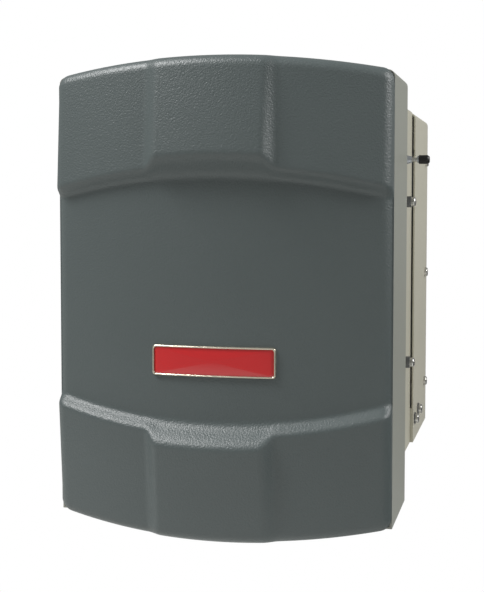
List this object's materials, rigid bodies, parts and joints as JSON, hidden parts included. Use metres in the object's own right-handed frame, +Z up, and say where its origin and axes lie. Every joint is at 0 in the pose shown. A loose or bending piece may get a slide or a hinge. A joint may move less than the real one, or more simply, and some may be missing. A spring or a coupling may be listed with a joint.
{
  "type": "variable frequency drive",
  "caption": "Wall-mounted variable frequency drive: bowed moulded front cover on a hinged sheet-steel hood, over a finned chassis with a rear shroud and cooling fans.",
  "frame": {"origin": "centre of the four wall-mount holes, on the back plate's rear face", "axes": "+Z up, +X to the right seen from the front, the front faces -Y and the wall is on the +Y side"},
  "size_m": [0.3275, 0.3572, 0.416],
  "materials": {
    "moulded_cover": "fine haircell grain, satin",
    "badge_red": "domed gloss",
    "badge_silver": "polished rim",
    "powder_coat": "fine semi-gloss coat",
    "zinc_sheet": "zinc plated",
    "zinc_screw": "bright zinc",
    "dark_steel": "black oxide",
    "black_plastic": "moulded",
    "seal_rubber": "foam",
    "heatsink_aluminium": "extruded",
    "circuit_board": "solder mask",
    "capacitor_sleeve": "shrink sleeve",
    "terminal_green": "moulded",
    "module_case": "moulded"
  },
  "bodies": {
    "chassis": {"hinge_brackets": "powder_coat", "hinge_pins": "zinc_screw", "chassis_plate": "zinc_sheet", "hood_seal": "seal_rubber", "side_collar": "powder_coat", "nut_bar": "zinc_sheet", "hood_screw_collars": "dark_steel", "hood_screws": "zinc_screw", "thumbscrew_ferrule": "zinc_sheet", "rear_shroud": "powder_coat", "shroud_screws": "zinc_screw", "lower_washers": "dark_steel", "lower_screws": "zinc_screw", "base_panel": "powder_coat", "back_plate": "zinc_sheet", "frame_rails": "zinc_sheet", "heatsink": "heatsink_aluminium", "fan_frame_left": "black_plastic", "fan_frame_right": "black_plastic", "fan_guards": "zinc_screw", "gland_plate": "zinc_sheet", "power_modules": "module_case", "power_board": "circuit_board", "control_board": "circuit_board", "board_posts": "zinc_screw", "bus_capacitors": "capacitor_sleeve", "power_terminals": "black_plastic", "terminal_screws": "zinc_screw", "control_terminals": "terminal_green", "current_sensors": "module_case", "earth_stud": "zinc_screw"},
    "hood": {"front_cover": "moulded_cover", "cover_gasket": "seal_rubber", "cover_screws": "zinc_screw", "hood_wrap": "powder_coat", "hood_bottom": "powder_coat", "latch_tongues": "zinc_sheet", "badge_rim": "badge_silver", "badge_face": "badge_red", "hinge_leaves": "powder_coat"},
    "thumbscrew_slider": {"thumbscrew_sleeve": "zinc_sheet"},
    "thumbscrew": {"thumbscrew_rod": "zinc_screw", "thumbscrew_cap": "black_plastic"},
    "fan_left": {"fan_rotor_left": "black_plastic"},
    "fan_right": {"fan_rotor_right": "black_plastic"}
  },
  "joints": [
    {"name": "hood_hinge", "type": "hinge", "parent": "chassis", "child": "hood", "pos_m": [-0.1555, -0.208, 0], "axis": [0, 0, -1], "range_deg": [0, 105]},
    {"name": "thumbscrew_push", "type": "slide", "parent": "chassis", "child": "thumbscrew_slider", "axis": [-1, 0, 0], "range_m": [0, 0.005], "stiffness_N_per_m": 300},
    {"name": "thumbscrew_turn", "type": "hinge", "parent": "thumbscrew_slider", "child": "thumbscrew", "pos_m": [0.15, -0.186, 0.1155], "axis": [1, 0, 0], "continuous": true},
    {"name": "fan_spin_left", "type": "hinge", "parent": "chassis", "child": "fan_left", "pos_m": [-0.063, -0.0689, -0.15], "axis": [0, 0, 1], "continuous": true},
    {"name": "fan_spin_right", "type": "hinge", "parent": "chassis", "child": "fan_right", "pos_m": [0.063, -0.0689, -0.15], "axis": [0, 0, 1], "continuous": true}
  ]
}
